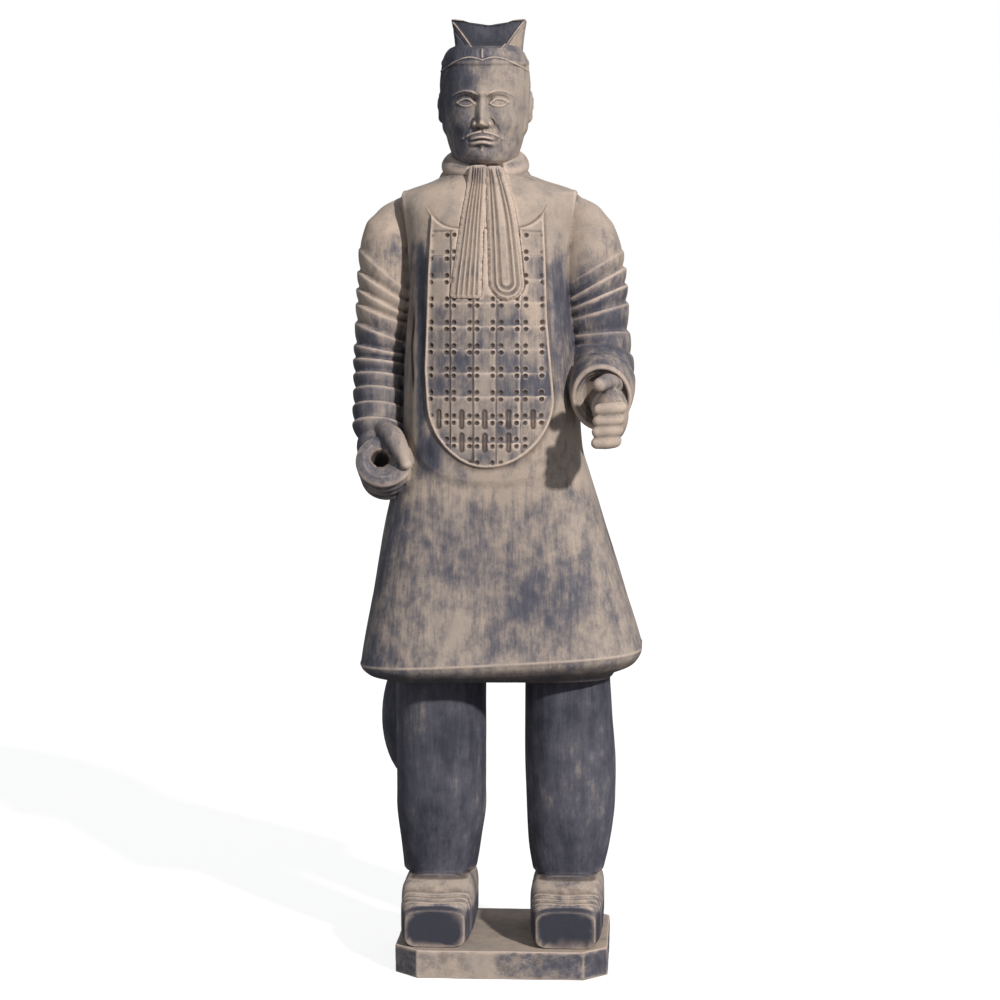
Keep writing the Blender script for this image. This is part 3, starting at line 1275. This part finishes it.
class Nodes:
    """Small helper that adds and wires shader nodes of one material."""

    def __init__(self, material):
        material.use_nodes = True
        self.tree = material.node_tree
        self.shader = self.tree.nodes["Principled BSDF"]
        self.coordinates = self.tree.nodes.new("ShaderNodeTexCoord").outputs["Object"]

    def link(self, output, socket):
        self.tree.links.new(output, socket)

    def attribute(self, name):
        node = self.tree.nodes.new("ShaderNodeAttribute")
        node.attribute_name = name
        return node.outputs["Fac"]

    def math(self, operation, first, second=0.0):
        node = self.tree.nodes.new("ShaderNodeMath")
        node.operation = operation
        for socket, value in zip(node.inputs, (first, second)):
            if isinstance(value, (int, float)):
                socket.default_value = value
            else:
                self.link(value, socket)
        return node.outputs[0]

    def noise(self, size, detail=4.0, stretch=(1, 1, 1), roughness=0.55, shift=0.0):
        """Noise whose hills are about size metres across, stretched along each axis."""
        mapping = self.tree.nodes.new("ShaderNodeMapping")
        mapping.inputs["Location"].default_value = (shift, shift * 0.7, shift * 1.3)
        mapping.inputs["Scale"].default_value = tuple(1 / (size * s) for s in stretch)
        self.link(self.coordinates, mapping.inputs["Vector"])
        node = self.tree.nodes.new("ShaderNodeTexNoise")
        node.inputs["Scale"].default_value = 1.0
        node.inputs["Detail"].default_value = detail
        node.inputs["Roughness"].default_value = roughness
        self.link(mapping.outputs["Vector"], node.inputs["Vector"])
        return node.outputs["Fac"]

    def ramp(self, value, low, high, start=0.0, end=1.0):
        """Smoothly from start at low to end at high."""
        node = self.tree.nodes.new("ShaderNodeMapRange")
        node.interpolation_type = "SMOOTHSTEP"
        for name, number in zip(("From Min", "From Max", "To Min", "To Max"),
                                (low, high, start, end)):
            node.inputs[name].default_value = number
        self.link(value, node.inputs["Value"])
        return node.outputs["Result"]

    def blend(self, share, first, second, kind="MIX"):
        node = self.tree.nodes.new("ShaderNodeMix")
        node.data_type = "RGBA"
        node.blend_type = kind
        for name, value in (("Factor", share), ("A", first), ("B", second)):
            sockets = [socket for socket in node.inputs if socket.name == name]
            kinds = {"Factor": "VALUE"}
            socket = next(s for s in sockets if s.type == kinds.get(name, "RGBA"))
            if isinstance(value, tuple):
                socket.default_value = (*value, 1)
            elif isinstance(value, (int, float)):
                socket.default_value = value
            else:
                self.link(value, socket)
        return next(socket for socket in node.outputs if socket.type == "RGBA")


def clay_material(name, streak):
    """Fired clay with a pale wash, slate patina in patches, dark hollows and rubbed edges."""
    material = bpy.data.materials.new(name)
    n = Nodes(material)
    patches = n.noise(0.15, 5, (1, 1, 1.5), 0.62)
    mottle = n.noise(0.03, 6, (1, 1, 1.3), 0.65, 3.0)
    brush = n.noise(0.0045, 4, streak, 0.6, 7.0)
    broad_brush = n.noise(0.02, 4, streak, 0.5, 11.0)
    grain = n.noise(0.0016, 3, (1, 1, 1), 0.6, 5.0)
    patina, relief, rubbed = n.attribute("patina"), n.attribute("relief"), n.attribute("rubbed")

    wash = n.blend(n.ramp(patches, 0.35, 0.65), BEIGE, CREAM)
    wash = n.blend(n.ramp(mottle, 0.42, 0.75, 0, 0.6), wash, GREY_CLAY)

    cover = patina
    for pattern, strength in ((patches, 1.6), (mottle, 0.9), (broad_brush, 0.6), (brush, 0.5)):
        swing = n.math("MULTIPLY", n.math("SUBTRACT", pattern, 0.5), strength)
        cover = n.math("ADD", cover, swing)
    slate_share = n.ramp(cover, 0.15, 0.85)
    slate = n.blend(n.ramp(cover, 0.7, 1.3), SLATE, DARK_SLATE)
    colour = n.blend(slate_share, wash, slate)

    raised = n.math("MULTIPLY", n.ramp(relief, 0.15, 0.9), n.ramp(mottle, 0.3, 0.6, 0.5, 1.0))
    colour = n.blend(n.math("MULTIPLY", raised, rubbed), colour, PALE_EDGE)
    sunk = n.math("MAXIMUM", n.ramp(relief, -0.25, -1.7, 0, 0.8), n.attribute("dirt"))
    colour = n.blend(n.math("MULTIPLY", sunk, 0.9), colour, BROWN)
    speck = n.ramp(grain, 0.3, 0.7, 0.86, 1.12)
    grey = n.tree.nodes.new("ShaderNodeCombineColor")
    for socket in grey.inputs[:3]:
        n.link(speck, socket)
    colour = n.blend(1.0, colour, grey.outputs[0], "MULTIPLY")
    n.link(colour, n.shader.inputs["Base Color"])
    n.link(n.ramp(slate_share, 0, 1, 0.95, 0.72), n.shader.inputs["Roughness"])

    height = n.math("ADD", n.math("MULTIPLY", brush, 0.5), n.math("MULTIPLY", grain, 0.35))
    height = n.math("ADD", height, n.math("MULTIPLY", mottle, 0.8))
    rough = n.tree.nodes.new("ShaderNodeBump")
    rough.inputs["Strength"].default_value = 0.45
    rough.inputs["Distance"].default_value = 0.0016
    n.link(height, rough.inputs["Height"])
    n.link(rough.outputs["Normal"], n.shader.inputs["Normal"])
    return material


# ---------------------------------------------------------------- studio and camera

FLOOR_GREY = (0.25, 0.25, 0.25)
FLOOR_GLOW = 0.86
SKY_COLOUR = (0.93, 0.96, 1.0)
SKY_STRENGTH = 0.36
SUN = {"strength": 3.3, "width": 3, "azimuth": 36, "elevation": 28, "colour": (1.0, 0.95, 0.89)}

def make_floor():
    """A floor that looks all but white, yet throws little light back up."""
    bpy.ops.mesh.primitive_plane_add(size=80, location=(0, 0, 0))
    floor = bpy.context.object
    floor.name = "floor"
    material = bpy.data.materials.new("pale_floor")
    material.use_nodes = True
    nodes, links = material.node_tree.nodes, material.node_tree.links
    shader = nodes["Principled BSDF"]
    shader.inputs["Base Color"].default_value = (*FLOOR_GREY, 1)
    shader.inputs["Roughness"].default_value = 0.9
    shader.inputs["Emission Color"].default_value = (1, 1, 1, 1)
    rays = nodes.new("ShaderNodeLightPath")
    glow = nodes.new("ShaderNodeMath")
    glow.operation = "MULTIPLY"
    glow.inputs[1].default_value = FLOOR_GLOW
    links.new(rays.outputs["Is Camera Ray"], glow.inputs[0])
    links.new(glow.outputs[0], shader.inputs["Emission Strength"])
    floor.data.materials.append(material)


def make_sky():
    """White to the camera, dimmer as a light."""
    world = bpy.data.worlds.new("studio")
    bpy.context.scene.world = world
    world.use_nodes = True
    nodes, links = world.node_tree.nodes, world.node_tree.links
    lit = nodes["Background"]
    lit.inputs["Color"].default_value = (*SKY_COLOUR, 1)
    lit.inputs["Strength"].default_value = SKY_STRENGTH
    seen = nodes.new("ShaderNodeBackground")
    seen.inputs["Color"].default_value = (1, 1, 1, 1)
    rays = nodes.new("ShaderNodeLightPath")
    choose = nodes.new("ShaderNodeMixShader")
    links.new(rays.outputs["Is Camera Ray"], choose.inputs[0])
    links.new(lit.outputs[0], choose.inputs[1])
    links.new(seen.outputs[0], choose.inputs[2])
    links.new(choose.outputs[0], nodes["World Output"].inputs["Surface"])


def make_sun():
    sun = bpy.data.lights.new("key", "SUN")
    sun.energy = SUN["strength"]
    sun.angle = math.radians(SUN["width"])
    sun.color = SUN["colour"]
    key = bpy.data.objects.new("key", sun)
    azimuth, elevation = math.radians(SUN["azimuth"]), math.radians(SUN["elevation"])
    key.rotation_euler = (math.pi / 2 - elevation, 0, azimuth)
    bpy.context.scene.collection.objects.link(key)


def make_studio():
    make_floor()
    make_sky()
    make_sun()
    bpy.context.scene.view_settings.view_transform = "Standard"


def make_camera():
    lens = bpy.data.cameras.new("camera")
    lens.lens = 92.71
    lens.sensor_width = 36
    lens.shift_x = -0.005
    camera = bpy.data.objects.new("camera", lens)
    azimuth, pitch, distance, height = math.radians(3.2), math.radians(4.531), 5.0, 1.30
    camera.location = (distance * math.sin(azimuth), -distance * math.cos(azimuth), height)
    camera.rotation_euler = (math.pi / 2 - pitch, 0, azimuth)
    bpy.context.scene.collection.objects.link(camera)
    bpy.context.scene.camera = camera


make_camera()
make_studio()
for maker, node, streak in ((make_body, "body", (1, 1, 10)), (make_head, "head", (1, 1, 2.5)),
                            (make_base, "plinth", (1.6, 1.6, 1))):
    piece = maker()
    piece.data.materials.clear()
    piece.data.materials.append(clay_material(f"{node}_clay", streak))
    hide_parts(node)
    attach(piece, "root")
